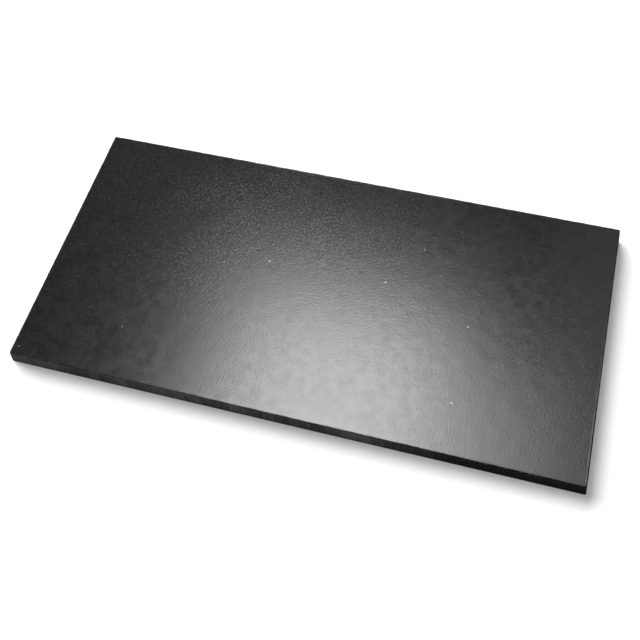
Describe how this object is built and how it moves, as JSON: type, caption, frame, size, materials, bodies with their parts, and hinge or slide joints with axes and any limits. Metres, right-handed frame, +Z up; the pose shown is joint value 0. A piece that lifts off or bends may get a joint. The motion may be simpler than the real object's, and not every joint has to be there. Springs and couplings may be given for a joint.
{
  "type": "flat basalt massage stone",
  "caption": "Thin rectangular slab of dark sawn basalt with a satin leathered face and eased edges, for hot or cold stone massage; lies flat on either face.",
  "frame": {"origin": "centre of the flat underside", "axes": "+X along the slab's length, +Y across its width, +Z up through its thickness, out of the leathered working face"},
  "size_m": [0.2998, 0.151, 0.01],
  "materials": {
    "basalt": "satin"
  },
  "bodies": {
    "root": {"stone_slab": "basalt"}
  },
  "joints": []
}
